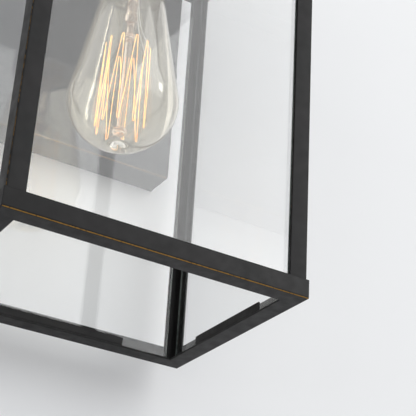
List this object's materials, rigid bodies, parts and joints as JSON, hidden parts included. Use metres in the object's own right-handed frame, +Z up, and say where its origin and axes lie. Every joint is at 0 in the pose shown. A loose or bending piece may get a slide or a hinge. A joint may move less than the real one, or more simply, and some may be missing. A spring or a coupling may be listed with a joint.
{
  "type": "outdoor wall lantern",
  "caption": "Open-bottomed box lantern of dark bronze angle frame and clear panes on a shallow wall plate, with a screw-in filament bulb.",
  "frame": {"origin": "centre of the mounting strap's rear face, in the plane of the wall", "axes": "+Y into the wall, +Z up, +X to the right as one faces the lantern"},
  "size_m": [0.182, 0.1631, 0.3327],
  "materials": {
    "bronze": "satin, rubbed through to bronze on the arrises",
    "pane_glass": "clear float glass",
    "bulb_glass": "clear blown glass with a faint amber tint",
    "brass": "plain",
    "steel": "zinc plated",
    "foam": "closed-cell foam",
    "rubber": "matt",
    "porcelain": "glazed",
    "black_glass": "opaque black",
    "filament": "glowing tungsten"
  },
  "bodies": {
    "housing": {"bottom_rail_back": "bronze", "bottom_rail_front": "bronze", "bottom_rail_left": "bronze", "bottom_rail_right": "bronze", "centre_contact": "brass", "corner_post_back_left": "bronze", "corner_post_back_right": "bronze", "corner_post_front_left": "bronze", "corner_post_front_right": "bronze", "deck_nut": "steel", "glass_back": "pane_glass", "glass_clip_back": "bronze", "glass_clip_front": "bronze", "glass_clip_left": "bronze", "glass_clip_right": "bronze", "glass_front": "pane_glass", "glass_left": "pane_glass", "glass_right": "pane_glass", "ground_screw": "brass", "link_screw_left": "steel", "link_screw_right": "steel", "mounting_strap": "steel", "nipple": "steel", "roof_nut": "steel", "roof_shell": "bronze", "screw_shell": "brass", "socket_body": "porcelain", "socket_cover": "bronze", "top_deck": "bronze", "top_rail_back": "bronze", "top_rail_front": "bronze", "top_rail_left": "bronze", "top_rail_right": "bronze", "wall_gasket": "foam", "wall_plate": "bronze", "wire_grommet": "rubber"},
    "bulb": {"bulb_cap": "brass", "bulb_contact": "steel", "bulb_glass": "bulb_glass", "bulb_insulator": "black_glass", "filament": "filament", "glass_stem": "bulb_glass", "lead_in_first": "steel", "lead_in_last": "steel", "lower_hub": "brass", "upper_hub": "brass"},
    "finial": {"finial": "bronze"},
    "side_screw_left": {"side_screw_left": "bronze"},
    "side_screw_right": {"side_screw_right": "bronze"}
  },
  "joints": [
    {"name": "bulb_out", "type": "slide", "parent": "housing", "child": "bulb", "axis": [0, 0, -1], "range_m": [0, 0.26]},
    {"name": "finial_turn", "type": "hinge", "parent": "housing", "child": "finial", "pos_m": [0, -0.0896, 0.11], "axis": [0, 0, 1], "continuous": true},
    {"name": "left_screw_turn", "type": "hinge", "parent": "housing", "child": "side_screw_left", "pos_m": [-0.0675, -0.0085, 0], "axis": [-1, 0, 0], "continuous": true},
    {"name": "right_screw_turn", "type": "hinge", "parent": "housing", "child": "side_screw_right", "pos_m": [0.0675, -0.0085, 0], "axis": [1, 0, 0], "continuous": true}
  ]
}
